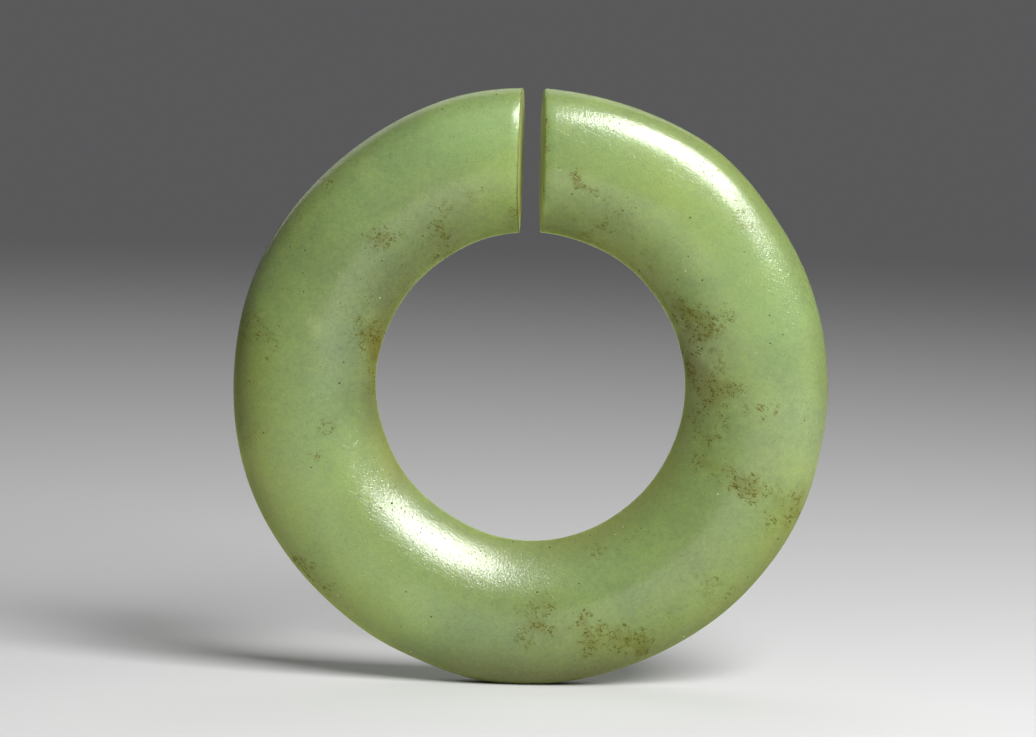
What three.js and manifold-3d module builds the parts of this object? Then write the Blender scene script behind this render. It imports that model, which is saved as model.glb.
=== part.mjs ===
// A jade slit ring, the ear ornament called a jue: one pebble of green nephrite, cut to a
// thick ring with a lens-shaped section and sawn through once. It stands on its rim.
// Millimetres, +Z up. The ring's own axis runs along Y, its show face looks towards -Y, and
// the slit is at the top. The origin is on the floor, under the middle of the ring.

import * as THREE from 'three';
import { mergeVertices } from 'three/addons/utils/BufferGeometryUtils.js';
import Module from 'manifold-3d';

const wasm = await Module();
wasm.setup();

// Driving dimensions of the ring
const outerDiameter = 60.8;      // across the rim where nothing is ground away
const holeDiameter = 31;         // across the crisp inner rim of the drilled hole
const thickness = 7.4;           // front to back at the crest of the section

// The slit, sawn from the front with a wedge-shaped edge, so it narrows towards the back
const slitWidthFront = 3.6;
const slitWidthBack = 1.5;
const slitAside = -0.47;         // from the ring's middle to the slit's
const arrisRadius = 0.35;        // the worn edge round each sawn face

// The lens section. The crest is where the ring is thickest. From there each flank runs to
// its rim by out = cos(turn) ** reachPower and swell = sin(turn) ** swellPower: the outer
// flank is a blunt half ellipse, the inner one is leaner and ends in a crisp edge.
const crestShare = 0.5;          // place of the crest, as a share of the band from the hole
const outerFlank = { reachPower: 0.87, swellPower: 0.87 };
const innerFlank = { reachPower: 1, swellPower: 1.84 };

// Hand grinding: stretches of the rim are flatter than a circle, and the hole strays from
// one. Each stretch is its middle and its span in degrees, counted from +X towards +Z, and
// how much it takes, as a share of the deepest.
const deepestFlat = 0.5;
const rimFlatShares = [
  { middle: 14, span: 40, share: 0.75 },
  { middle: 35, span: 46, share: 0.9 },
  { middle: 78, span: 64, share: 0.8 },
  { middle: 128, span: 80, share: 0.95 },
  { middle: 176, span: 90, share: 0.8 },
  { middle: 227, span: 74, share: 0.9 },
  { middle: 250, span: 26, share: 0.35 },
  { middle: 298, span: 72, share: 0.6 },
  { middle: 328, span: 34, share: 0.35 },
  { middle: 352, span: 50, share: 0.85 },
];
const holeWander = 0.2;
const holeWanderShares = [
  { middle: 8, span: 50, share: 0.3 },
  { middle: 55, span: 40, share: 0.3 },
  { middle: 100, span: 60, share: 0.75 },
  { middle: 136, span: 50, share: 0.45 },
  { middle: 170, span: 60, share: 0.9 },
  { middle: 236, span: 50, share: -0.5 },
  { middle: 282, span: 100, share: 0.95 },
  { middle: 324, span: 30, share: 0.25 },
];

// The small flat that the ring stands on, opposite the slit
const restFlatDepth = 0.15;
const cutOverrun = 2;

// How finely the curved faces are divided
const stepsRound = 110;
const stepsPerFlank = 9;
const stepsPerArris = 3;

// Sizes that follow from the ones above
const outerRadius = outerDiameter / 2;
const holeRadius = holeDiameter / 2;
const centreHeight = outerRadius - restFlatDepth;
const quarterTurn = Math.PI / 2;

const nephrite = new THREE.MeshStandardMaterial({
  name: 'nephrite',
  color: 0x90a86c,
  roughness: 0.38,
  metalness: 0,
});

// Sum of the stretches at an angle: each one swells and fades as a squared cosine.
function strayAt(angle, stretchShares) {
  const degrees = THREE.MathUtils.radToDeg(angle);
  let sum = 0;
  for (const { middle, span, share } of stretchShares) {
    const away = THREE.MathUtils.euclideanModulo(degrees - middle + 180, 360) - 180;
    if (Math.abs(away) < span / 2) sum += share * Math.cos((Math.PI * away) / span) ** 2;
  }
  return sum;
}

// One loop of the lens section, from the outer rim over the front to the hole's rim and back
// behind. out is 1 at the outer rim, 0 at the crest and -1 at the hole; swell is -1 at the
// front crest and 1 at the back one.
function lensLoop() {
  const loop = [];
  const flankPoint = (flank, turn, side) => ({
    out: Math.cos(turn) ** flank.reachPower,
    swell: side * Math.sin(turn) ** flank.swellPower,
  });
  for (const side of [-1, 1]) {
    const half = [];
    for (let i = 0; i < stepsPerFlank; i++) {
      half.push(flankPoint(outerFlank, (quarterTurn * i) / stepsPerFlank, side));
    }
    half.push({ out: 0, swell: side });
    for (let i = stepsPerFlank - 1; i > 0; i--) {
      const { out, swell } = flankPoint(innerFlank, (quarterTurn * i) / stepsPerFlank, side);
      half.push({ out: -out, swell });
    }
    half.push({ out: -1, swell: 0 });
    if (side > 0) half.reverse();
    loop.push(...half.slice(0, -1));
  }
  return loop;
}

// Half of the slit's width at a depth behind the ring's middle plane
function halfSlit(depth) {
  const middleWidth = (slitWidthFront + slitWidthBack) / 2;
  return (middleWidth - ((slitWidthFront - slitWidthBack) * depth) / thickness) / 2;
}

// Angle at which a circle of this radius, at this depth, meets a sawn face. side is -1 for
// the left face and 1 for the right one, seen from the front.
function faceAngle(side, radius, depth) {
  return Math.acos((slitAside + side * halfSlit(depth)) / radius);
}

// A point of the section loop at one station between the left sawn face and the right one.
function bandPoint({ along, shift, inset }, { out, swell }) {
  const roughAngle = THREE.MathUtils.lerp(quarterTurn, quarterTurn + 2 * Math.PI, along);
  const rim = outerRadius - deepestFlat * strayAt(roughAngle, rimFlatShares);
  const hole = holeRadius + holeWander * strayAt(roughAngle, holeWanderShares);
  const crest = THREE.MathUtils.lerp(hole, rim, crestShare);
  const reach = out > 0 ? rim - inset - crest : crest - hole - inset;
  const radius = crest + out * reach;
  const depth = swell * (thickness / 2 - inset);
  const start = faceAngle(-1, radius, depth) + arrisRadius / radius;
  const end = faceAngle(1, radius, depth) + 2 * Math.PI - arrisRadius / radius;
  const angle = THREE.MathUtils.lerp(start, end, along) + shift / radius;
  return new THREE.Vector3(radius * Math.cos(angle), depth, radius * Math.sin(angle));
}

// The stations: a rounded arris at each sawn face, and even steps round the ring between.
function stationsRound() {
  const arris = [];
  for (let i = 0; i < stepsPerArris; i++) {
    const turn = (quarterTurn * i) / stepsPerArris;
    arris.push({ shift: arrisRadius * Math.cos(turn), inset: arrisRadius * (1 - Math.sin(turn)) });
  }
  const stations = arris.map(({ shift, inset }) => ({ along: 0, shift: -shift, inset }));
  for (let i = 0; i <= stepsRound; i++) {
    stations.push({ along: i / stepsRound, shift: 0, inset: 0 });
  }
  arris.reverse();
  stations.push(...arris.map(({ shift, inset }) => ({ along: 1, shift, inset })));
  return stations;
}

// Closes one end of the band with its sawn face: strips on each side of a line halfway
// through the thickness.
function closeWithSawnFace(points, faces, ring, loopSize, outwards) {
  const half = loopSize / 2;
  const add = (a, b, c) => faces.push(...(outwards ? [a, b, c] : [a, c, b]));
  const frontAt = (i) => ring + i;
  const backAt = (i) => ring + ((loopSize - i) % loopSize);
  const middleLine = [frontAt(0)];
  for (let i = 1; i < half; i++) {
    const front = points[frontAt(i)];
    const back = points[backAt(i)];
    middleLine.push(points.push(front.clone().lerp(back, 1 / 2)) - 1);
  }
  middleLine.push(frontAt(half));
  for (let i = 0; i < half; i++) {
    for (const [edgeAt, flip] of [[frontAt, false], [backAt, true]]) {
      const [a, b, c, d] = [edgeAt(i), edgeAt(i + 1), middleLine[i + 1], middleLine[i]];
      if (i > 0) add(...(flip ? [a, d, b] : [a, b, d]));
      if (i < half - 1) add(...(flip ? [b, d, c] : [b, c, d]));
    }
  }
}

// The ring's body: the lens section carried round from the left sawn face to the right one.
function carveBand() {
  const loop = lensLoop();
  const stations = stationsRound();
  const points = [];
  const faces = [];
  for (const station of stations) {
    for (const place of loop) points.push(bandPoint(station, place));
  }
  for (let s = 0; s < stations.length - 1; s++) {
    for (let i = 0; i < loop.length; i++) {
      const next = (i + 1) % loop.length;
      const [a, b] = [s * loop.length + i, s * loop.length + next];
      const [c, d] = [a + loop.length, b + loop.length];
      faces.push(a, c, b, b, c, d);
    }
  }
  closeWithSawnFace(points, faces, 0, loop.length, true);
  closeWithSawnFace(points, faces, (stations.length - 1) * loop.length, loop.length, false);
  const band = new THREE.BufferGeometry().setFromPoints(points);
  band.setIndex(faces);
  return band;
}

function toSolid(geometry) {
  const bare = geometry.clone();
  bare.deleteAttribute('normal');
  bare.deleteAttribute('uv');
  const merged = mergeVertices(bare);
  return new wasm.Manifold(new wasm.Mesh({
    numProp: 3,
    vertProperties: new Float32Array(merged.attributes.position.array),
    triVerts: new Uint32Array(merged.index.array),
  }));
}

function toGeometry(solid) {
  const { vertProperties, triVerts } = solid.getMesh();
  const geometry = new THREE.BufferGeometry();
  geometry.setAttribute('position', new THREE.BufferAttribute(vertProperties, 3));
  geometry.setIndex(new THREE.BufferAttribute(triVerts, 1));
  geometry.computeVertexNormals();
  return geometry;
}

// The ring, with its rest flat ground across the bottom of the rim.
function grindRestFlat(band) {
  const height = restFlatDepth + cutOverrun;
  const grindstone = new THREE.BoxGeometry(outerDiameter, thickness + cutOverrun, height);
  grindstone.translate(0, 0, -centreHeight - height / 2);
  return toGeometry(toSolid(band).subtract(toSolid(grindstone)));
}

const slitRing = new THREE.Mesh(grindRestFlat(carveBand()), nephrite);
slitRing.name = 'slit_ring';
slitRing.position.z = centreHeight;

const jue = new THREE.Group();
jue.add(slitRing);

export default jue;
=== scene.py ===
# %% [markdown]
# # A jade slit ring, called a jue
# This lesson dresses one small thing: a ring of green nephrite, 60 mm across, with a
# lens-shaped section and a sawn slit, standing on its rim on a pale table. There is only
# one piece, so all the care goes into its surface: how it was ground, how deep the light
# goes into the stone, and what a long time in the ground left in its pits.
# The solid model comes first. It is the frame that the looks are built around, and it
# already has the right size and place.

import math

import bpy
import numpy as np
from mathutils import Matrix, Vector
from mathutils.bvhtree import BVHTree


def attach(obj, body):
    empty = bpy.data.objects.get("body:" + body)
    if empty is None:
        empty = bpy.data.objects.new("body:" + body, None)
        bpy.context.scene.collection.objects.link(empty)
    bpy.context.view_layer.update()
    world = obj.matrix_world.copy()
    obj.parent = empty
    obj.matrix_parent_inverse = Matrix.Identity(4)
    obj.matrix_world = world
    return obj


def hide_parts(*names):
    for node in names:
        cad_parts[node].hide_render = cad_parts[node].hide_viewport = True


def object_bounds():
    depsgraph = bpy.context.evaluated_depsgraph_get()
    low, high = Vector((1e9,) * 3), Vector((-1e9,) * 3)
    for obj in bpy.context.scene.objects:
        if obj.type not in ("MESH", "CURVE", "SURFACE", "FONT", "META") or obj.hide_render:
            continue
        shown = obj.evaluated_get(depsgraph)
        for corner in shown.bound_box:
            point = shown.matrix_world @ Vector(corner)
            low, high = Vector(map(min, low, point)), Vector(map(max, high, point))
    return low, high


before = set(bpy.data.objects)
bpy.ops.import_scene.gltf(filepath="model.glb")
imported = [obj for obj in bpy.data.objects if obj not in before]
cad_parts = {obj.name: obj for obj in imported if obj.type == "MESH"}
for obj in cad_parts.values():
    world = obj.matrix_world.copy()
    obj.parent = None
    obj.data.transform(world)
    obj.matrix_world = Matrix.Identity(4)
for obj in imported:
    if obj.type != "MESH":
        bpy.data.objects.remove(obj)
cad_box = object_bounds()
MM = 0.001
box_in_mm = [round(extent / MM, 1) for extent in cad_box[1] - cad_box[0]]
print("solids:", sorted(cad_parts), "box in mm:", box_in_mm)

# %% [markdown]
# ## Where the camera stands
# The photograph looks at the ring from the front and a little above, with a long lens, and
# the camera is turned a little about its own line of sight. All of that is three directions:
# right, up, and back towards the camera. They are worked out here and given to the camera as
# its matrix.

# %% Camera
IMAGE_WIDTH, IMAGE_HEIGHT = 1036, 737
MM_PER_PIXEL = 0.1009                 # at the ring, read from its 60 mm width
CAMERA_DISTANCE = 500 * MM
CAMERA_ELEVATION = math.radians(6)
CAMERA_ROLL = math.radians(1.4)
CENTRE_HEIGHT = 30.25 * MM
RING_CENTRE_PIXEL = (530.8, 386.6)    # where the ring's centre is in the picture
SENSOR_WIDTH = 36                     # in millimetres, as Blender counts it
NEAREST_SEEN = 10 * MM

ring_centre = Vector((0, 0, CENTRE_HEIGHT))
towards_camera = Vector((0, -math.cos(CAMERA_ELEVATION), math.sin(CAMERA_ELEVATION)))
level_right = Vector((1, 0, 0))
level_up = towards_camera.cross(level_right)
view_right = level_right * math.cos(CAMERA_ROLL) + level_up * math.sin(CAMERA_ROLL)
view_up = level_up * math.cos(CAMERA_ROLL) - level_right * math.sin(CAMERA_ROLL)

pixel = MM_PER_PIXEL * MM
aside = (RING_CENTRE_PIXEL[0] - IMAGE_WIDTH / 2) * pixel
above = (IMAGE_HEIGHT / 2 - RING_CENTRE_PIXEL[1]) * pixel
aim = ring_centre - view_right * aside - view_up * above

camera = bpy.data.objects.new("camera", bpy.data.cameras.new("camera"))
bpy.context.scene.collection.objects.link(camera)
bpy.context.scene.camera = camera
camera.data.sensor_width = SENSOR_WIDTH
camera.data.lens = SENSOR_WIDTH * CAMERA_DISTANCE / (IMAGE_WIDTH * pixel)
camera.data.clip_start = NEAREST_SEEN
camera.matrix_world = Matrix.Translation(aim + towards_camera * CAMERA_DISTANCE) @ Matrix(
    (view_right, view_up, towards_camera)
).transposed().to_4x4()
camera_spot = [round(c / MM) for c in camera.matrix_world.translation]
print("camera at", camera_spot, "mm, lens", round(camera.data.lens), "mm")

# %% [markdown]
# ## Sums in a node tree
# The ring's shape follows a rule, so Geometry Nodes make it, and the stone's pattern is a
# rule too, so shader nodes make that. Both are long sums. A small wrapper lets Python write
# them as sums, with + - * / and **, while it puts down the Math nodes.

# %% Feeding a node
def feed(tree, node, values):
    """Gives numbers and flows to the inputs of a node, in their order."""
    for place, value in zip(node.inputs, values):
        if isinstance(value, Flow):
            tree.links.new(value.socket, place)
        else:
            place.default_value = value


# %% A number that flows through a tree
class Flow:
    """One output of a node tree, which can be used in sums."""

    def __init__(self, tree, socket):
        self.tree = tree
        self.socket = socket

    def math(self, operation, *others, clamp=False):
        node = self.tree.nodes.new("ShaderNodeMath")
        node.operation = operation
        node.use_clamp = clamp
        feed(self.tree, node, (self, *others))
        return Flow(self.tree, node.outputs[0])

    def __add__(self, other):
        return self.math("ADD", other)

    def __sub__(self, other):
        return self.math("SUBTRACT", other)

    def __rsub__(self, other):
        return self * -1 + other

    def __mul__(self, other):
        return self.math("MULTIPLY", other)

    def __truediv__(self, other):
        return self.math("DIVIDE", other)

    def __pow__(self, other):
        return self.math("POWER", other)

    __radd__, __rmul__ = __add__, __mul__

    def __abs__(self):
        return self.math("ABSOLUTE")

    def clamped(self):
        """Held between 0 and 1."""
        return self.math("ADD", 0, clamp=True)

    def between(self, low, high, soft=True):
        """0 at low, 1 at high, and a smooth or a straight run between."""
        node = self.tree.nodes.new("ShaderNodeMapRange")
        node.interpolation_type = "SMOOTHSTEP" if soft else "LINEAR"
        feed(self.tree, node, (self, low, high))
        return Flow(self.tree, node.outputs["Result"])

    def mix(self, start, end):
        """start where this is 0, end where it is 1."""
        return (end - start) * self + start


print("a Flow also has:", ", ".join(name for name in vars(Flow) if "_" not in name))

# %% [markdown]
# ## The sizes of the ring
# These are the sizes of the solid model, told once more in metres, because the dressed ring
# has to fill the same space. Two are its own: the slit is narrower in front than the solid's
# 3.6 mm, as a closer look at the photograph gives, and its worn edges are finer. The two
# lists say where hand grinding left the rim flatter than a circle and where the hole strays:
# the middle and span of each stretch in degrees, and how much it takes, as a share of the
# deepest.

# %% Sizes
OUTER_RADIUS = 30.4 * MM
HOLE_RADIUS = 15.5 * MM
THICKNESS = 7.4 * MM
SLIT_FRONT, SLIT_BACK = 2.6 * MM, 1.5 * MM   # between the sawn faces
SLIT_ASIDE = -0.47 * MM
ARRIS = 0.25 * MM                            # the worn edge round each sawn face
WORN_CORNER = 0.35 * MM                      # the same at the top corner on the right
ROUNDING_WIDTH = 0.9 * MM                    # beside the slit, where the flank drops off
ROUNDING_DEPTH = 0.11 * MM
GRINDING_RELIEF = 0.035 * MM
SAW_MARKS = 0.02 * MM
CREST_SHARE = 0.5
OUTER_REACH_POWER, OUTER_SWELL_POWER = 0.87, 0.87
INNER_REACH_POWER, INNER_SWELL_POWER = 1, 1.84
DEEPEST_FLAT = 0.5 * MM
HOLE_WANDER = 0.2 * MM
RIM_FLATS = [
    (14, 40, 0.75), (35, 46, 0.9), (78, 64, 0.8), (128, 80, 0.95), (176, 90, 0.8),
    (227, 74, 0.9), (250, 26, 0.35), (298, 72, 0.6), (328, 34, 0.35), (352, 50, 0.85),
]
HOLE_STRAYS = [
    (8, 50, 0.3), (55, 40, 0.3), (100, 60, 0.75), (136, 50, 0.45), (170, 60, 0.9),
    (236, 50, -0.5), (282, 100, 0.95), (324, 30, 0.25),
]
print("band in mm:", round((OUTER_RADIUS - HOLE_RADIUS) / MM, 1), "stretches:", len(RIM_FLATS + HOLE_STRAYS))

# %% [markdown]
# ## Carrying the section round
# A potter would call this a sweep. A flat grid has one direction for the way round the ring
# and the other for the way round the lens section. Geometry Nodes move each of its points to
# where the rule says. At both ends the last columns are kept for the worn edge of the saw
# cut and for the sawn face itself, so the band closes without a seam.

# %% The tree's inputs
STATIONS, SECTION_POINTS = 620, 156
sweep = bpy.data.node_groups.new("carve_band", "GeometryNodeTree")
sweep.interface.new_socket("Geometry", in_out="OUTPUT", socket_type="NodeSocketGeometry")
sweep_sizes = {
    "Outer radius": OUTER_RADIUS,
    "Hole radius": HOLE_RADIUS,
    "Thickness": THICKNESS,
    "Slit width in front": SLIT_FRONT,
    "Slit width behind": SLIT_BACK,
    "Slit aside": SLIT_ASIDE,
    "Arris": ARRIS,
    "Worn corner": WORN_CORNER,
    "Rounding width": ROUNDING_WIDTH,
    "Rounding depth": ROUNDING_DEPTH,
    "Deepest flat": DEEPEST_FLAT,
    "Hole wander": HOLE_WANDER,
    "Centre height": CENTRE_HEIGHT,
    "Grinding relief": GRINDING_RELIEF,
    "Saw marks": SAW_MARKS,
}
for title, size in sweep_sizes.items():
    made = sweep.interface.new_socket(title, in_out="INPUT", socket_type="NodeSocketFloat")
    made.default_value = size
sweep.interface.new_socket("Stone", in_out="INPUT", socket_type="NodeSocketMaterial")
inputs = sweep.nodes.new("NodeGroupInput")
size_of = {title: Flow(sweep, inputs.outputs[title]) for title in sweep_sizes}
print("sweep inputs:", ", ".join(sweep_sizes))


# %% Vectors, and the flat grid
def split(tree, vector):
    """The three parts of a vector."""
    node = tree.nodes.new("ShaderNodeSeparateXYZ")
    tree.links.new(vector, node.inputs[0])
    return [Flow(tree, part) for part in node.outputs]


def join(tree, *parts):
    """A vector of three numbers."""
    node = tree.nodes.new("ShaderNodeCombineXYZ")
    feed(tree, node, parts)
    return node.outputs[0]


grid = sweep.nodes.new("GeometryNodeMeshGrid")
grid.inputs["Size X"].default_value = 2
grid.inputs["Size Y"].default_value = 1
grid.inputs["Vertices X"].default_value = STATIONS
grid.inputs["Vertices Y"].default_value = SECTION_POINTS
grid_x, grid_y, _ = split(sweep, sweep.nodes.new("GeometryNodeInputPosition").outputs[0])
print("grid:", STATIONS, "stations of", SECTION_POINTS, "points")

# %% [markdown]
# Along the ring, grid_x runs from -1 at the left sawn face through the bottom to 1 at the
# right one. The last shares of that run are the arris and the face. The stations lie closer
# together near the slit, where the shape changes most.

# %% Stations: band, arris, face
ARRIS_FROM, FACE_FROM = 0.94, 0.965
END_CROWDING = 0.25
side = grid_x.math("SIGN")
run = abs(grid_x)
even = run.between(0, ARRIS_FROM, soft=False)
along = even + (even - even**4) * END_CROWDING
arris_turn = run.between(ARRIS_FROM, FACE_FROM, soft=False) * (math.pi / 2)
onto_face = run.between(FACE_FROM, 1, soft=False)
print("share of the run that is band:", ARRIS_FROM)

# %% [markdown]
# Round the section, grid_y makes one turn: from the outer rim over the front crest to the
# hole's rim and back behind. Powers of the cosine and sine make the outer flank a blunt half
# ellipse and the inner one leaner, with a crisp edge. The worn edge of the saw cut is widest
# on the crests, a little wider on the inner flank, and most worn at the right top corner.

# %% The lens section
ARRIS_AT_RIM = 0.4                    # share of the worn edge that is left at the rims
INNER_ARRIS = 1.35
turn = (grid_y + 0.5) * (2 * math.pi)
cosine, sine = turn.math("COSINE"), turn.math("SINE")
outwards = cosine.math("GREATER_THAN", 0)
reach_power = outwards.mix(INNER_REACH_POWER, OUTER_REACH_POWER)
swell_power = outwards.mix(INNER_SWELL_POWER, OUTER_SWELL_POWER)
out = cosine.math("SIGN") * abs(cosine) ** reach_power
swell = -1 * sine.math("SIGN") * abs(sine) ** swell_power
crest_wear = abs(sine) ** 0.6 * (1 - ARRIS_AT_RIM) + ARRIS_AT_RIM
arris = size_of["Arris"] * crest_wear * outwards.mix(INNER_ARRIS, 1)
worn_corner = side.between(0, 1) * cosine.between(0.5, 1)
arris = worn_corner.mix(arris, size_of["Worn corner"])
inset = arris * (1 - arris_turn.math("COSINE"))
shift = arris * arris_turn.math("SINE")
print("sweep nodes so far:", len(sweep.nodes))

# %% [markdown]
# The rim and the hole are circles less their ground stretches. The crest lies halfway
# between them, and from there each flank reaches to its rim. Close to the slit, the flank
# is rounded off a little more.

# %% How far out, and how deep
def strays(degrees, stretches):
    """Sum of the stretches at an angle, each a squared cosine."""
    total = 0
    for middle, span, share in stretches:
        away = abs((degrees - middle).math("WRAP", 180, -180)).math("MINIMUM", span / 2)
        total = (away * (math.pi / span)).math("COSINE") ** 2 * share + total
    return total


rough_angle = side * along * 180 + 270
rim = size_of["Outer radius"] - size_of["Deepest flat"] * strays(rough_angle, RIM_FLATS)
hole = size_of["Hole radius"] + size_of["Hole wander"] * strays(rough_angle, HOLE_STRAYS)
crest = (hole + rim) * CREST_SHARE
reach = outwards.mix(crest - hole, rim - crest) - inset
radius = crest + out * reach
to_face = (1 - along) * math.pi * radius
nearness_to_face = (1 - to_face / size_of["Rounding width"]).math("MAXIMUM", 0)
rounding = nearness_to_face**2 * size_of["Rounding depth"]
depth = swell * (size_of["Thickness"] / 2 - inset - rounding) * (1 - onto_face)
print("sweep nodes so far:", len(sweep.nodes))

# %% [markdown]
# A circle of any radius meets a sawn face where its sideways distance is that of the face.
# The slit is wider in front than behind, so that distance changes with depth.

# %% Angles, from the sawn faces
slit_middle = (size_of["Slit width in front"] + size_of["Slit width behind"]) / 2
taper = (size_of["Slit width in front"] - size_of["Slit width behind"]) / size_of["Thickness"]
half_slit = (slit_middle - taper * depth) / 2
face_angle = ((size_of["Slit aside"] + side * half_slit) / radius).math("ARCCOSINE")
end_angle = face_angle + (side * math.pi + math.pi) - side * arris / radius
angle = along.mix(1.5 * math.pi, end_angle) + side * shift / radius
carved = join(
    sweep,
    radius * angle.math("COSINE"),
    depth,
    radius * angle.math("SINE") + size_of["Centre height"],
)
print("sweep nodes so far:", len(sweep.nodes))

# %% [markdown]
# ## Moving points and keeping values
# Two small helpers: a move of all points, and a value that is kept on each point so that
# the material can read it later.

# %% Helpers of the sweep
def move(geometry, title, **where):
    """Moves the points to a Position or by an Offset."""
    node = sweep.nodes.new("GeometryNodeSetPosition")
    node.label = title
    sweep.links.new(geometry, node.inputs["Geometry"])
    for way, vector in where.items():
        sweep.links.new(vector, node.inputs[way])
    return node.outputs["Geometry"]


def keep(geometry, name, value):
    """Stores a value at each point, for the material to read."""
    node = sweep.nodes.new("GeometryNodeStoreNamedAttribute")
    node.data_type, node.domain = "FLOAT", "POINT"
    sweep.links.new(geometry, node.inputs["Geometry"])
    node.inputs["Name"].default_value = name
    sweep.links.new(value.socket, node.inputs["Value"])
    return node.outputs["Geometry"]


# %% The grid becomes a ring
WELD = 0.002 * MM
body = grid.outputs["Mesh"]
body = keep(body, "across", out)
body = keep(body, "sawn", run.between(ARRIS_FROM, FACE_FROM))
body = move(body, "carve", Position=carved)
merge = sweep.nodes.new("GeometryNodeMergeByDistance")
merge.inputs["Distance"].default_value = WELD
sweep.links.new(body, merge.inputs["Geometry"])
print("kept on the points: across, sawn")

# %% [markdown]
# ## Grinding relief
# A ring ground by hand on wet sandstone is never quite smooth: a slow swell over some
# millimetres and a finer one, a few hundredths deep, which is what breaks up the highlights.
# The sawn faces keep faint grooves from the sand saw, which run the way it travelled. In
# this tree a noise's scale counts cells in a metre: 120 makes swells of 8 mm.

# %% A noise
def noise(tree, vector, scale, detail=2.0, roughness=0.5, distortion=0.0):
    """A noise texture's value, 0 to 1, about 0.5."""
    node = tree.nodes.new("ShaderNodeTexNoise")
    node.inputs["Scale"].default_value = scale
    node.inputs["Detail"].default_value = detail
    node.inputs["Roughness"].default_value = roughness
    node.inputs["Distortion"].default_value = distortion
    tree.links.new(vector, node.inputs["Vector"])
    return Flow(tree, node.outputs[0])


# %% Relief
SLOW_SWELL, FINE_SWELL, GROOVES = 120, 420, 1500
SLOW_SHARE, FINE_SHARE = 2, 0.35
GROOVE_STRETCH = 0.06                 # how much longer than wide, turned round
here = sweep.nodes.new("GeometryNodeInputPosition").outputs[0]
slow_swell = noise(sweep, here, SLOW_SWELL, detail=1) - 0.5
fine_swell = noise(sweep, here, FINE_SWELL, detail=1) - 0.5
relief = (slow_swell * SLOW_SHARE + fine_swell * FINE_SHARE) * size_of["Grinding relief"]
_, here_y, here_z = split(sweep, here)
grooves = noise(sweep, join(sweep, 0, here_y, here_z * GROOVE_STRETCH), GROOVES, detail=2) - 0.5
kept_mark = sweep.nodes.new("GeometryNodeInputNamedAttribute")
kept_mark.data_type = "FLOAT"
kept_mark.inputs["Name"].default_value = "sawn"
sawn = Flow(sweep, kept_mark.outputs["Attribute"])
relief = relief * (1 - sawn) + grooves * sawn * size_of["Saw marks"]
push = sweep.nodes.new("ShaderNodeVectorMath")
push.operation = "SCALE"
sweep.links.new(sweep.nodes.new("GeometryNodeInputNormal").outputs[0], push.inputs[0])
sweep.links.new(relief.socket, push.inputs["Scale"])
body = move(merge.outputs["Geometry"], "relief", Offset=push.outputs[0])
print("relief in mm:", GRINDING_RELIEF / MM, "saw marks:", SAW_MARKS / MM)

# %% [markdown]
# The bottom of the rim has a small flat to stand on: points below the table go up to it.

# %% Rest flat, and the end of the tree
here_x, here_y, here_z = split(sweep, sweep.nodes.new("GeometryNodeInputPosition").outputs[0])
body = move(body, "rest", Position=join(sweep, here_x, here_y, here_z.math("MAXIMUM", 0)))
for kind in ("FlipFaces", "SetShadeSmooth", "RealizeInstances", "SetMaterial"):
    node = sweep.nodes.new("GeometryNode" + kind)
    sweep.links.new(body, node.inputs[0])
    body = node.outputs[0]
sweep.links.new(inputs.outputs["Stone"], node.inputs["Material"])
outputs = sweep.nodes.new("NodeGroupOutput")
sweep.links.new(body, outputs.inputs[0])
print("sweep nodes:", len(sweep.nodes))

# %% [markdown]
# ## Out of the tree
# The tree's result is turned into a plain mesh, and the modifier is taken off, so the
# ring is an ordinary object with its place in its mesh. The material is made empty here and
# filled in further down.

# %% Carve the ring
nephrite = bpy.data.materials.new("nephrite")
nephrite.use_nodes = True
slit_ring = bpy.data.objects.new("jade_ring", bpy.data.meshes.new("jade_ring"))
bpy.context.scene.collection.objects.link(slit_ring)
carve = slit_ring.modifiers.new("carve_band", "NODES")
carve.node_group = sweep
for item in sweep.interface.items_tree:
    if item.in_out == "INPUT":
        carve[item.identifier] = nephrite if item.name == "Stone" else sweep_sizes[item.name]
carved_ring = bpy.data.meshes.new_from_object(
    slit_ring.evaluated_get(bpy.context.evaluated_depsgraph_get())
)
slit_ring.modifiers.remove(carve)
slit_ring.data = carved_ring
carved_ring.name = "jade_ring"
carved_ring.calc_loop_triangles()
print("jade ring:", len(carved_ring.vertices), "points,", len(carved_ring.loop_triangles), "triangles")

# %% [markdown]
# ## Finding places on the stone
# Each stain and each worn spot of the real ring has its place. A line of sight from the
# camera through a point of the picture meets the ring's face there, so a mark can be a brush
# stroke through a few such points and still lie on the stone, seen from any side. A stroke
# is written as its reach in millimetres, its weight, and its points of the picture.

# %% The ring's points and faces
points = np.empty(len(carved_ring.vertices) * 3)
carved_ring.vertices.foreach_get("co", points)
points = points.reshape(-1, 3)
faces = [face.vertices[:] for face in carved_ring.polygons]
stone_faces = BVHTree.FromPolygons([Vector(point) for point in points], faces)
print("faces to meet:", len(faces))


# %% A point of the picture, on the stone
def on_stone(across_picture, down_picture):
    """The point of the ring's face behind this point of the picture."""
    on_plane = (
        aim
        + view_right * ((across_picture - IMAGE_WIDTH / 2) * pixel)
        + view_up * ((IMAGE_HEIGHT / 2 - down_picture) * pixel)
    )
    eye = camera.matrix_world.translation
    hit = stone_faces.ray_cast(eye, (on_plane - eye).normalized())[0]
    return np.array(hit if hit else stone_faces.find_nearest(on_plane)[0])


print("behind 700, 400 of the picture, in mm:", (on_stone(700, 400) / MM).round(1))


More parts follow.
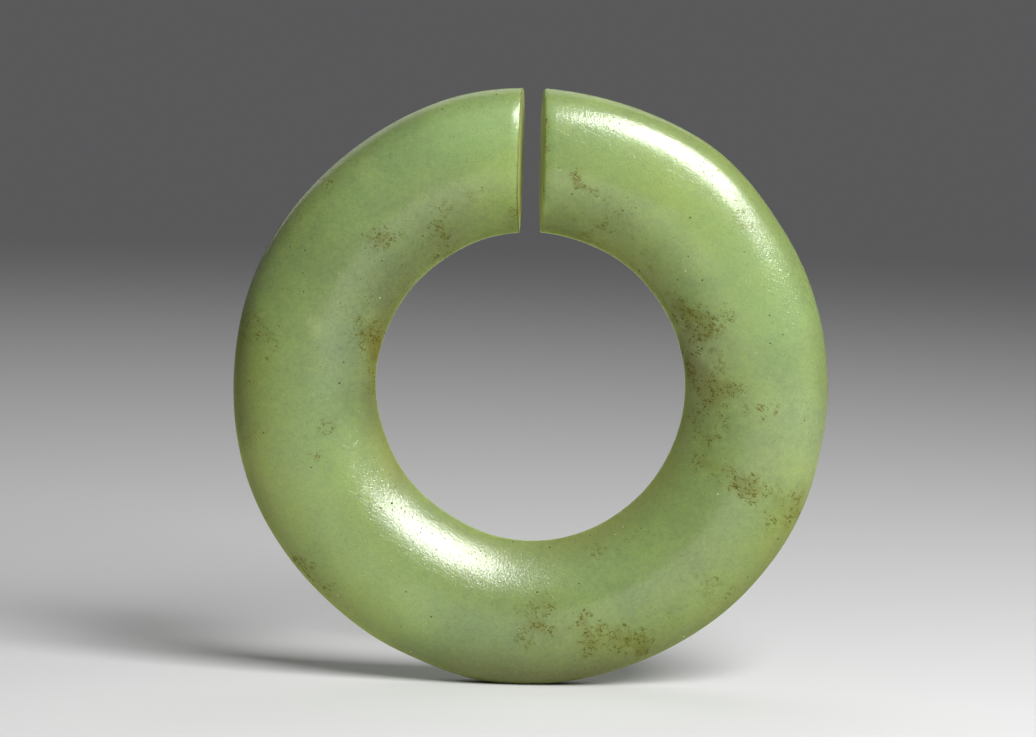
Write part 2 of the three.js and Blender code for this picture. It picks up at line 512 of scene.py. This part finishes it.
# %% Painting with strokes
def nearness(route, reach):
    """1 on a line through points of the stone, falling to 0 a few reaches away."""
    best = np.full(len(points), np.inf)
    for start, end in zip(route, route[1:] or route):
        way = end - start
        share = np.clip((points - start) @ way / max(way @ way, 1e-12), 0, 1)
        best = np.minimum(best, ((points - start - share[:, None] * way) ** 2).sum(1))
    return np.exp(-best / (2 * reach**2))


def painted(strokes):
    """The sum of some strokes at each point."""
    total = np.zeros(len(points))
    for reach_in_mm, weight, *route in strokes:
        total += weight * nearness([on_stone(*place) for place in route], reach_in_mm * MM)
    return total


# %% Keeping what was painted
def store(name, values):
    """Keeps values on the mesh, for the material to read."""
    layer = carved_ring.attributes.new(name, "FLOAT", "POINT")
    layer.data.foreach_set("value", np.ascontiguousarray(values, dtype=np.float32))
    print(f"{name}: {values.min():.2f} to {values.max():.2f}, mean {values.mean():.3f}")


# %% [markdown]
# ## Iron stains
# In the ground, brown iron water crept into the finest cracks. The stains follow weak
# streaks of the stone and crowd at the hole's rim. These strokes say where they are dense.

# %% Where the stains are
STAINS = [
    # left half, from the slit down
    (0.9, 0.8, (371, 241), (384, 237)), (1.0, 0.6, (440, 228), (447, 244), (444, 258)),
    (2.2, 0.28, (395, 225), (450, 200), (480, 196)), (0.8, 0.8, (366, 333), (369, 345), (374, 352)),
    (1.0, 0.75, (380, 330), (380, 345), (378, 385)), (1.4, 0.3, (345, 312), (362, 322)),
    (1.3, 0.55, (250, 322), (258, 338), (268, 346)), (1.2, 0.35, (246, 424), (252, 436)),
    (0.8, 0.5, (325, 425), (330, 431)), (0.8, 0.5, (318, 455), (326, 466)),
    (1.1, 0.5, (298, 562), (310, 574), (326, 586)), (1.5, 0.2, (286, 540), (300, 560)),
    # the bottom
    (0.9, 0.7, (524, 615), (530, 627), (524, 640)), (0.8, 0.8, (544, 600), (546, 604)),
    (0.8, 0.7, (540, 625), (547, 630)), (1.0, 0.8, (584, 630), (612, 640), (640, 645)),
    (0.7, 0.7, (588, 646), (586, 655)), (0.8, 0.6, (580, 614), (584, 618)),
    (0.9, 0.5, (620, 628), (644, 634), (642, 652)),
    # the right half
    (1.0, 0.85, (704, 464), (722, 470), (746, 487)), (0.9, 0.75, (746, 487), (772, 496), (796, 498)),
    (1.1, 0.7, (775, 518), (787, 524), (793, 516)), (1.1, 1.1, (679, 306), (688, 316), (697, 324)),
    (0.9, 0.8, (700, 322), (706, 330)), (0.7, 0.7, (722, 312), (730, 314)),
    (1.2, 0.9, (684, 345), (688, 365), (702, 380)), (0.9, 1.1, (696, 374), (708, 390), (710, 398)),
    (0.8, 0.6, (727, 386), (733, 389)), (1.6, 0.35, (705, 335), (722, 380), (706, 440)),
    (0.9, 0.55, (690, 420), (706, 430), (708, 440)), (1.3, 0.3, (735, 400), (742, 420)),
    (0.8, 0.5, (762, 412), (780, 412)), (0.7, 0.45, (800, 410), (806, 420)),
    (0.8, 0.5, (724, 583), (731, 590)), (1.2, 0.3, (696, 575), (712, 605)),
    (0.9, 0.4, (655, 612), (672, 622)),
    # beside the slit, and single faint ones
    (0.45, 0.9, (577, 168), (577, 182)), (0.3, 0.8, (577, 184), (594, 192)),
    (0.8, 0.5, (611, 202), (620, 214)), (1.8, 0.3, (590, 235), (630, 246), (650, 262)),
    (1.6, 0.2, (560, 205), (600, 225)), (0.9, 0.5, (328, 178), (334, 186)),
    (1.2, 0.35, (742, 215), (749, 222)), (0.7, 1.0, (520, 188), (519, 214)),
    (0.3, 0.9, (546, 116), (546, 150)), (0.3, 0.7, (545, 165), (545, 200)),
    (2.4, 0.16, (660, 200), (700, 235)), (1.2, 0.3, (590, 560), (640, 540)),
    (1.4, 0.22, (590, 540), (660, 500)),
]
stains = painted(STAINS)
print("strokes of stain on the front:", len(STAINS))

# %% [markdown]
# The back isn't in the photograph, so strokes of the same kind are drawn there by lot, with
# a fixed seed. Each bends a little, and drifts towards the rim or the hole.

# %% Stains on the back
BACK_STREAKS, BACK_SEED = 26, 11
BACK_DEPTH = THICKNESS * 0.42
MOST_BEND, MOST_SWERVE = 0.14, 0.09
DENSEST = 1.3
lots = np.random.default_rng(BACK_SEED)


def behind(round_angle, far_out):
    """A point near the back face, at a share of the rim's radius."""
    return np.array((
        far_out * OUTER_RADIUS * math.cos(round_angle),
        BACK_DEPTH,
        far_out * OUTER_RADIUS * math.sin(round_angle) + CENTRE_HEIGHT,
    ))


for streak in range(BACK_STREAKS):
    begin = lots.uniform(-math.pi, math.pi)
    far = lots.triangular(0.52, 0.6, 0.98)
    bend = lots.uniform(-MOST_BEND, MOST_BEND)
    swerve = lots.uniform(-MOST_SWERVE, MOST_SWERVE)
    route = [behind(begin + step * bend, far + step * swerve / 2) for step in range(3)]
    weight = lots.uniform(0.35, 0.95)
    stains += weight * nearness(route, lots.uniform(0.7, 1.5) * MM)
store("stain", np.clip(stains, 0, DENSEST))

# %% [markdown]
# ## Clouds in the stone
# The pebble is not one green. Some parts are a bluish celadon, with a weight below zero
# here, and some a warm yellow-green, with soft borders. There are a few milky flecks.

# %% Warm, cool and milky places
WARM = [
    (3.0, 0.4, (420, 222), (470, 205)), (2.6, -0.7, (505, 120), (470, 130)),
    (2.0, 0.3, (505, 180), (500, 210)), (3.0, 0.5, (262, 520), (330, 600)),
    (2.2, 0.5, (560, 200), (640, 250)), (2.8, 0.55, (700, 340), (715, 390)),
    (3.0, 0.6, (620, 640), (560, 640)), (3.6, 0.5, (790, 480), (800, 520)),
    (2.4, 0.6, (480, 570), (530, 600)), (2.6, 0.4, (250, 340), (246, 420)),
    (3.2, 0.4, (660, 610), (720, 580)), (2.6, 0.35, (330, 190), (310, 210)),
    (3.0, -0.8, (470, 120), (420, 150)), (3.6, -0.9, (400, 160), (360, 215)),
    (3.2, -0.35, (345, 370), (350, 420)), (3.4, -0.5, (300, 400), (310, 470)),
    (3.0, -0.7, (480, 640), (440, 620)), (3.4, -0.6, (590, 560), (620, 600)),
    (3.0, -0.4, (600, 120), (560, 110)), (3.6, -0.45, (690, 430), (660, 500)),
    (3.2, -0.8, (800, 400), (798, 330), (765, 275)), (2.6, 0.8, (262, 380), (268, 440), (290, 500)),
    (2.4, 0.6, (660, 470), (620, 510), (580, 530)), (2.6, 0.5, (640, 420), (690, 380)),
    (2.4, -0.5, (560, 655), (520, 660)), (2.4, 0.5, (735, 600), (775, 545)),
]
MILKY_SPOTS = [
    (0.5, 1.0, (313, 320), (317, 325)), (0.3, 0.5, (315, 333)), (1.3, 0.35, (425, 190), (440, 200)),
    (0.8, 0.4, (369, 168), (371, 178)), (1.5, 0.3, (775, 405), (790, 402)),
    (1.4, 0.35, (415, 605), (428, 618)), (0.9, 0.3, (700, 255), (702, 262)),
    (1.6, 0.25, (660, 590), (690, 580)), (1.2, 0.3, (810, 330), (815, 380)),
]
store("warmth", painted(WARM))
store("paleness", np.clip(painted(MILKY_SPOTS), 0, 1))

# %% [markdown]
# The thin rims are darker and more olive in places, most of all round the hole. Part of it is
# dirt that stayed there, and part is painted shade: for the light that passes through the thin
# stone and is lost, and along the bottom rim, which sees the shadow on the table under the ring.

# %% Where the rims are aged, and where shade is painted on them
AGED_AND_SHADED = [
    (1.5, 0.75, (384, 330), (382, 380), (388, 430), (402, 470)),
    (1.6, 0.45, (392, 300), (412, 265), (450, 240)),
    (2.0, 0.7, (240, 340), (237, 400), (244, 450), (262, 510)),
    (2.0, 0.6, (280, 560), (330, 615), (390, 655)),
    (2.2, 0.9, (450, 675), (530, 681), (600, 674)),
    (2.8, 0.25, (500, 650), (600, 650)),
    (1.6, 0.6, (676, 330), (681, 385), (675, 430)),
    (1.6, 0.7, (662, 300), (640, 275), (600, 248), (560, 236)),
    (0.5, 0.4, (516, 150), (513, 226)),
    (1.8, 0.45, (560, 538), (620, 515), (660, 470)),
    (1.6, 0.5, (640, 668), (700, 636), (760, 578), (800, 500)),
]
store("age_and_shade", np.clip(painted(AGED_AND_SHADED), 0, 1))

# %% [markdown]
# ## Painted light and shade, and lighter and darker stone
# These strokes lift or lower the stone's tone. Some follow the stone's own lighter and darker
# places. Others are painted light and shade. They make up for soft light that the two lamps
# here don't give: they lift the rims and the right sawn face, paint a sheen on the crest beside
# each highlight, and darken places away from the softbox, such as the left of the ring and the
# bottom rim. So they are the first thing to take out when the ring is put under other light:
# the ones along the rims, and the strong one on the right side of the slit.

# %% Where light and shade are painted, and where the stone is lighter or darker
LIGHT_AND_SHADE_STROKES = [
    (3.4, 1.0, (748, 268), (704, 211), (653, 173), (594, 148)), (2.6, 1.0, (507, 122), (470, 132)),
    (2.6, 0.6, (327, 502), (364, 551), (413, 588)), (1.6, 0.8, (560, 96), (600, 100)),
    (1.0, 1.8, (234, 340), (234, 385), (243, 462)),
    (1.8, 2.6, (245, 462), (274, 533), (321, 594), (370, 634)), (2.4, 0.7, (350, 590), (400, 630)),
    (2.2, 0.9, (770, 322), (800, 314)), (2.0, 0.6, (590, 622)), (2.6, 0.5, (318, 428), (330, 470)),
    (2.6, -0.5, (580, 195), (575, 150)), (2.0, -0.6, (430, 213)), (2.0, -0.9, (346, 365), (344, 405)),
    (0.8, 0.8, (372, 320), (370, 346)), (0.8, 0.7, (377, 445), (387, 470)),
    (0.8, -0.6, (370, 385), (371, 410)), (2.6, -0.5, (365, 265)), (2.4, -0.6, (692, 547)),
    (2.2, -0.8, (622, 212)), (1.6, 0.7, (494, 94), (440, 110)), (2.2, -0.3, (300, 255), (275, 300)),
    (1.4, 1.5, (672, 320), (640, 272), (600, 246)), (1.4, 0.5, (392, 460), (410, 488)),
    (1.8, -0.8, (500, 673), (560, 677), (600, 668)), (4.0, -0.6, (383, 300), (305, 255)),
    (2.2, -0.9, (540, 205), (469, 216), (407, 261), (366, 325)), (2.8, -0.3, (415, 205), (335, 385)),
    (3.0, -0.5, (713, 499), (745, 440)), (2.4, -0.4, (560, 640), (660, 600)),
    (1.6, 0.6, (700, 640), (780, 560), (812, 470)), (0.5, 4.0, (542, 110), (542, 205)),
    (1.3, 0.7, (503, 150), (500, 222)),
]
store("painted_light_and_tone", painted(LIGHT_AND_SHADE_STROKES))

# %% [markdown]
# ## Dull and roughened places
# The crests shine and the rims are duller. Beside the lower highlight the polish is
# roughened, so it breaks up into fine specks of light.

# %% Where the polish is dull or rough
DULLED = [
    (
        3.0, 1.0, (243, 350), (240, 420), (252, 490), (280, 555), (330, 615), (400, 655),
        (470, 675), (560, 680), (640, 668), (700, 632), (755, 580), (790, 520),
    ),
    (2.4, 0.9, (566, 224), (610, 240), (652, 262), (682, 300)),
    (2.4, 0.9, (540, 218), (500, 222), (455, 232), (410, 262), (380, 320), (372, 360)),
    (1.6, 0.5, (512, 170), (506, 220)),
]
ROUGHENED = [
    (2.6, 1.0, (360, 520), (390, 560), (440, 585), (500, 590), (535, 580)),
    (2.4, 0.4, (780, 260), (800, 320)),
]
store("roughened", np.clip(painted(ROUGHENED), 0, 1))
store("dulled", np.clip(painted(DULLED), 0, 1))

# %% [markdown]
# ## The nephrite
# Nephrite is a felt of tiny fibres. Light goes in, wanders a millimetre or two and comes
# out again, which subsurface scattering does here. The polish has two parts, as old stone
# has: a satin one that spreads a soft sheen, and a sharper one that fine scratches and pits
# break up. Its colours come first.

# %% Colours
stone = nephrite.node_tree
nephrite_shader = stone.nodes["Principled BSDF"]
stone_place = stone.nodes.new("ShaderNodeTexCoord").outputs["Object"]
CELADON = (0.230, 0.335, 0.114)
YELLOW_GREEN = (0.270, 0.352, 0.080)
MILKY = (0.36, 0.44, 0.16)
# the olive of the rims is partly dirt and partly painted shade
RIM_OLIVE_AND_SHADE = (0.192, 0.210, 0.054)
SAWN_FACE = (0.200, 0.218, 0.044)
OCHRE = (0.86, 0.77, 0.64)            # only multiplied over the stone
RUST = (0.120, 0.078, 0.006)
PIT = (0.030, 0.038, 0.004)
FLECK = (0.60, 0.66, 0.45)
print("ground colour, from", CELADON, "to", YELLOW_GREEN)

# %% [markdown]
# Patterns are written in millimetres of the stone itself, so a noise's scale counts cells in
# a millimetre: 0.12 makes clouds of 8 mm, and 4.4 a grain of a quarter of one. Streaks are
# a noise that is stretched. The Mapping node is set to Texture, because that way it turns
# first and stretches afterwards, and only then do the streaks run at a slant.

# %% Coordinates and noises of the stone
def spread(scale=(1, 1, 1), turn=(0, 0, 0)):
    """The stone's coordinates in mm, first turned by degrees and then stretched."""
    node = stone.nodes.new("ShaderNodeMapping")
    node.vector_type = "TEXTURE"
    stone.links.new(stone_place, node.inputs["Vector"])
    node.inputs["Scale"].default_value = [MM / s for s in scale]
    node.inputs["Rotation"].default_value = [math.radians(t) for t in turn]
    return node.outputs["Vector"]


in_mm = spread()


def pattern(scale, vector=in_mm, **kind):
    """A noise on the stone, 0 to 1, in cells a millimetre."""
    return noise(stone, vector, scale, **kind)


# %% [markdown]
# The material reads what the tree and the strokes left on the points.

# %% Marks kept on the points
def stored(name):
    """A mark that was kept on the points."""
    node = stone.nodes.new("ShaderNodeAttribute")
    node.attribute_name = name
    return Flow(stone, node.outputs["Fac"])


across = stored("across")             # 1 at the outer rim, 0 at the crest, -1 at the hole
sawn_mark = stored("sawn")            # 1 on the sawn faces, 0 on the band
warmth = stored("warmth")
paleness = stored("paleness")
# darker olive rims: partly aged dirt, partly painted shade
age_and_shade = stored("age_and_shade")
stain = stored("stain")
# painted light and shade, with some of the stone's own lighter and darker places
painted_light_and_tone = stored("painted_light_and_tone")
dulled = stored("dulled")
roughened = stored("roughened")
print("nodes so far:", len(stone.nodes))


# %% Laying one colour over another
def blend(share, under, over, how="MIX"):
    """Lays one colour over another."""
    node = stone.nodes.new("ShaderNodeMix")
    node.data_type, node.blend_type = "RGBA", how
    for place, value in ((node.inputs[0], share), (node.inputs[6], under), (node.inputs[7], over)):
        if isinstance(value, Flow):
            stone.links.new(value.socket, place)
        elif isinstance(value, tuple):
            place.default_value = (*value, 1)
        elif isinstance(value, float):
            place.default_value = value
        else:
            stone.links.new(value, place)
    return node.outputs[2]


# %% [markdown]
# ## Body colour
# Three sizes of noise make the clouds, the drifts within them and the felt of the fibres.
# Together with the painted warmth they choose between celadon and yellow-green. Milk and
# the olive of the rims, partly dirt and partly painted shade, are laid over, and the sawn
# faces have a darker, drier green.

# %% Body colour
clouds = pattern(0.12, detail=3, roughness=0.5) - 0.5
drifts = pattern(0.42, detail=4, roughness=0.55, distortion=0.8) - 0.5
felt = pattern(1.9, detail=4, roughness=0.62, distortion=0.4) - 0.5
warm_share = clouds * 0.9 + drifts * 0.45 + felt * 0.3 + warmth * 0.45 + 0.5
body_colour = blend(warm_share.clamped(), CELADON, YELLOW_GREEN)
milk = pattern(0.27, spread(turn=(40, 20, 0)), detail=4, roughness=0.6).between(0.52, 0.78)
body_colour = blend(milk * 0.12 + paleness * 0.7, body_colour, MILKY)
inner_rim = across.between(-0.5, -1.05) * 0.38
outer_rim = across.between(0.6, 1.05) * 0.25
# olive on the rims: partly dirt, partly painted shade
rim_olive_and_shade = inner_rim + outer_rim + age_and_shade * (0.7 + (drifts + clouds) * 0.4)
body_colour = blend(rim_olive_and_shade.clamped(), body_colour, RIM_OLIVE_AND_SHADE)
body_colour = blend(sawn_mark * 0.8, body_colour, SAWN_FACE)
print("nodes so far:", len(stone.nodes))

# %% [markdown]
# The tone multiplies that colour. It is 1 on average and mottled by the same noises and a
# finer one, with streaks of the saw on the sawn faces. The painted light and shade goes in
# here. The right sawn face turns away from the lamp, so it is lifted more than the left one:
# that lift is painted light. Painted shade darkens the worn edges of the sawn faces, the left
# one most, and the outer rim.

# %% Tone
PAINTED_LIGHT = 0.2                   # what a stroke of weight 1 adds
SLIT_BORDER = 0.3 * MM                # either side of the slit's middle, where there is no stone
fibres = pattern(4.4, detail=2, roughness=0.6, distortion=0.8) - 0.5
saw_streaks = pattern(1.0, spread((3, 3, 0.2)), detail=2) - 0.5
worn_edge = sawn_mark * (1 - sawn_mark) * 4
outer_edge = across.between(0.72, 1.02)
sideways = split(stone, stone_place)[0]
right_side = sideways.between(SLIT_ASIDE - SLIT_BORDER, SLIT_ASIDE + SLIT_BORDER)
mottling = drifts * 0.24 + felt * 0.36 + fibres * 0.4 + clouds * 0.16
sawn_tone_and_painted_light = (saw_streaks * 0.8 + 0.5 + right_side * 0.3) * sawn_mark
# edge_shade is painted shade on the worn edges of the sawn faces and on the outer rim
edge_shade = worn_edge * (0.75 - right_side * 0.65) + outer_edge * 0.17
tone = painted_light_and_tone * PAINTED_LIGHT + mottling + sawn_tone_and_painted_light - edge_shade + 1
body_colour = blend(1.0, body_colour, join(stone, tone, tone, tone), "MULTIPLY")
print("nodes so far:", len(stone.nodes))

# %% [markdown]
# ## The stain network
# Seen close, a stain is a net of short dark cracks and a few crumbs in a faint ochre halo.
# The middle line of a noise wriggles like a crack, another noise breaks it into pieces, and
# the painted stain says where it shows at all.

# %% Stain network
halo = (stain * (pattern(1.3, detail=3) * 1.3 + 0.1)).between(0.25, 1.1)
haze = stain.between(0.75, 1.25) * 0.6
body_colour = blend((halo * 0.7 + haze).clamped(), body_colour, OCHRE, "MULTIPLY")
slanted = spread((1, 1, 0.45), (0, 118, 0))
wriggle = pattern(1.7, slanted, detail=3, roughness=0.6, distortion=1.1)
crack = abs(wriggle - 0.5).between(0.050, 0.012)
broken = pattern(2.6, detail=2, roughness=0.5).between(0.43, 0.54)
patchy = pattern(0.8, detail=2).between(0.38, 0.6)
dense = (stain * patchy).between(0.12, 0.5)
network = crack * broken * dense
body_colour = blend(network * 0.8, body_colour, RUST)
specks = pattern(4.4, detail=1, distortion=0.6).between(0.64, 0.70) * dense
body_colour = blend(specks * 0.7, body_colour, PIT)
print("nodes so far:", len(stone.nodes))

# %% [markdown]
# ## Pits, pricks and flecks
# Cells of a Voronoi texture give single spots: dark pits a tenth of a millimetre wide, finer
# pricks that show most in the highlights, and a few pale flecks. Each cell draws a lot, so
# only some have a spot. Where a spot or a crack is filled with dirt, the stone doesn't
# glow there, and without that its line would blur away.

# %% Single spots
def cells(scale, vector=in_mm):
    """Cells of a Voronoi texture: distance from each middle, and a lot drawn for each cell."""
    node = stone.nodes.new("ShaderNodeTexVoronoi")
    stone.links.new(vector, node.inputs["Vector"])
    node.inputs["Scale"].default_value = scale
    return Flow(stone, node.outputs["Distance"]), split(stone, node.outputs["Color"])[0]


# %% Pits and flecks
pit_distance, pit_lot = cells(0.75)
pits = pit_distance.between(0.085, 0.045) * pit_lot.between(0.50, 0.54)
body_colour = blend(pits * 0.85, body_colour, PIT)
prick_distance, prick_lot = cells(2.2)
pricks = prick_distance.between(0.22, 0.12) * prick_lot.between(0.5, 0.55)
body_colour = blend(pricks * 0.12, body_colour, PIT)
fleck_distance, fleck_lot = cells(0.55, spread(turn=(0, 30, 50)))
flecks = fleck_distance.between(0.07, 0.035) * fleck_lot.between(0.80, 0.84)
body_colour = blend(flecks * 0.8, body_colour, FLECK)
filled = (network + specks + pits + pricks * 0.3).clamped()
print("nodes so far:", len(stone.nodes))

# %% [markdown]
# ## The polish
# Heights are in millimetres. The coat has the fine grain that makes the border of a
# highlight sparkle, faint brush lines and a few scratches, and the stone under it only the
# coarser ones. Dirt, pits, dull stretches and the rims take gloss away.

# %% Heights in the polish
GRAIN, ROUGH_GRAIN, BRUSH_LINES, DRIFTS = 0.017, 0.022, 0.012, 0.012
SCRATCHES, PITS, PRICKS, SPECKS = 0.006, 0.05, 0.008, 0.02
SATIN_GRAIN = 0.010
grain = pattern(5.5, detail=1, roughness=0.5, distortion=0.6) - 0.5
brushed = pattern(3.2, spread((1, 1, 0.3), (0, 12, 0)), detail=2) - 0.5
scratch_one = pattern(1.6, spread((0.12, 0.5, 4.0), (0, 24, 0)), detail=1).between(0.66, 0.74)
scratch_two = pattern(1.3, spread((0.1, 0.5, 5.0), (0, -52, 10)), detail=1).between(0.67, 0.75)
holes = pits * PITS + pricks * PRICKS + specks * SPECKS
scratched = (scratch_one + scratch_two) * SCRATCHES
coat_grain = grain * (roughened * ROUGH_GRAIN + GRAIN)
heights = {
    "Normal": drifts * DRIFTS + grain * SATIN_GRAIN - holes,
    "Coat Normal": coat_grain + brushed * BRUSH_LINES + drifts * DRIFTS - scratched - holes,
}
for name, height in heights.items():
    bump = stone.nodes.new("ShaderNodeBump")
    bump.inputs["Distance"].default_value = MM
    stone.links.new(height.socket, bump.inputs["Height"])
    stone.links.new(bump.outputs["Normal"], nephrite_shader.inputs[name])
print("heights for:", ", ".join(heights))

# %% Gloss, and light inside the stone
thin_rim = abs(across).between(0.84, 1.0)
dirt = filled + halo * 0.3 + pricks * 0.7
polish = 1 - (dirt + dulled * 0.65 + thin_rim * 0.3).clamped()
satin = grain * 0.1 + network * 0.2 + sawn_mark * 0.2 + (dulled + thin_rim) * 0.2 + 0.46
linked = {
    "Base Color": body_colour,
    "Specular Tint": join(stone, polish, polish, polish),
    "Roughness": satin.socket,
    "Coat Weight": ((1 - sawn_mark * 0.7) * polish).socket,
    "Subsurface Weight": (1 - filled * 0.85).socket,
}
for name, socket in linked.items():
    stone.links.new(socket, nephrite_shader.inputs[name])
plain = {
    "IOR": 1.58,
    "Coat Roughness": 0.10,
    "Coat IOR": 1.65,
    "Subsurface Scale": 1.2 * MM,
    "Subsurface Radius": (1.0, 1.3, 0.6),
}
for name, value in plain.items():
    nephrite_shader.inputs[name].default_value = value
print("nephrite nodes:", len(stone.nodes))

# %% [markdown]
# ## On its body
# The ring rides on the only body there is, and takes the place of the solid.

# %% On its body
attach(slit_ring, "root")
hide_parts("slit_ring")
print("dressed:", slit_ring.name)

# %% [markdown]
# ## The table
# A wide sheet of pale paper. Close to the ring it is plain paper, and it keeps the ring's
# shadow. Further away the softbox no longer reaches it, and there, for the camera and for
# reflections only, it goes over into a constant plain grey, the same as the room's.

# %% Paper
TABLE_HALF = 4.0
PAPER = (0.80, 0.80, 0.80)
PAPER_ROUGHNESS, PAPER_GLOSS = 0.9, 0.2
FAR_TONE = (0.10, 0.10, 0.103)
FADE_FROM, FADE_TO = 100 * MM, 600 * MM
corners = [(x * TABLE_HALF, y * TABLE_HALF, 0) for x, y in ((-1, -1), (1, -1), (1, 1), (-1, 1))]
table_mesh = bpy.data.meshes.new("table")
table_mesh.from_pydata(corners, [], [(0, 1, 2, 3)])
table = bpy.data.objects.new("table", table_mesh)
bpy.context.scene.collection.objects.link(table)

paper = bpy.data.materials.new("paper")
paper.use_nodes = True
table_mesh.materials.append(paper)
paper_tree = paper.node_tree
paper_shader = paper_tree.nodes["Principled BSDF"]
paper_shader.inputs["Base Color"].default_value = (*PAPER, 1)
paper_shader.inputs["Roughness"].default_value = PAPER_ROUGHNESS
paper_shader.inputs["Specular IOR Level"].default_value = PAPER_GLOSS
print("table, metres wide:", 2 * TABLE_HALF)


# %% The far table
def seen(tree):
    """1 for rays that show the background: from the camera, mirrored or passed through."""
    rays = tree.nodes.new("ShaderNodeLightPath")
    shown = Flow(tree, rays.outputs["Is Camera Ray"])
    for kind in ("Is Glossy Ray", "Is Transmission Ray"):
        shown = shown.math("MAXIMUM", Flow(tree, rays.outputs[kind]))
    return shown


table_place = paper_tree.nodes.new("ShaderNodeTexCoord").outputs["Object"]
table_x, table_y, _ = split(paper_tree, table_place)
from_ring = (table_x**2 + table_y**2).math("SQRT")
far_glow = paper_tree.nodes.new("ShaderNodeEmission")
far_glow.inputs["Color"].default_value = (*FAR_TONE, 1)
fade = paper_tree.nodes.new("ShaderNodeMixShader")
far_share = seen(paper_tree) * from_ring.between(FADE_FROM, FADE_TO)
paper_tree.links.new(far_share.socket, fade.inputs[0])
paper_tree.links.new(paper_shader.outputs[0], fade.inputs[1])
paper_tree.links.new(far_glow.outputs[0], fade.inputs[2])
paper_tree.links.new(fade.outputs[0], paper_tree.nodes["Material Output"].inputs["Surface"])
print("paper nodes:", len(paper_tree.nodes))

# %% [markdown]
# ## The light
# One softbox, above the right shoulder of the camera, makes both highlights and the shadow.
# A wide weak one behind the ring lifts its back and its far rims. The room adds little.

# %% Softbox and fill
KEY_FROM, FILL_FROM = (0.69, -0.92, 0.98), (-0.22, 0.8, 0.8)
KEY_DISTANCE, FILL_DISTANCE = 350 * MM, 600 * MM
KEY_SPAN, FILL_SPAN = (34, 31), (68, 46)     # degrees wide and high, as seen from the ring
KEY_WATTS, FILL_WATTS = 1.66, 1.1


def hang_lamp(name, direction, distance, span, watts):
    """A rectangular lamp that looks at the ring."""
    lamp = bpy.data.lights.new(name, "AREA")
    lamp.shape = "RECTANGLE"
    lamp.size, lamp.size_y = (2 * distance * math.tan(math.radians(angle) / 2) for angle in span)
    lamp.energy = watts
    hung = bpy.data.objects.new(name, lamp)
    bpy.context.scene.collection.objects.link(hung)
    backwards = Vector(direction).normalized()
    sideways = backwards.cross(towards_camera).normalized()
    hung.matrix_world = Matrix.Translation(ring_centre + backwards * distance) @ Matrix(
        (sideways, backwards.cross(sideways), backwards)
    ).transposed().to_4x4()
    hung.visible_camera = False


hang_lamp("softbox", KEY_FROM, KEY_DISTANCE, KEY_SPAN, KEY_WATTS)
hang_lamp("fill", FILL_FROM, FILL_DISTANCE, FILL_SPAN, FILL_WATTS)
print("lamps in watts:", KEY_WATTS, FILL_WATTS)

# %% Room
ROOM_GLOW = 0.12
world = bpy.data.worlds.new("studio")
bpy.context.scene.world = world
world.use_nodes = True
room = world.node_tree.nodes["Background"]
room.inputs["Color"].default_value = (*FAR_TONE, 1)
room_strength = seen(world.node_tree).between(0, 1, soft=False).mix(ROOM_GLOW, 1)
world.node_tree.links.new(room_strength.socket, room.inputs["Strength"])
bpy.context.scene.view_settings.view_transform = "Standard"
print("room glow:", ROOM_GLOW)
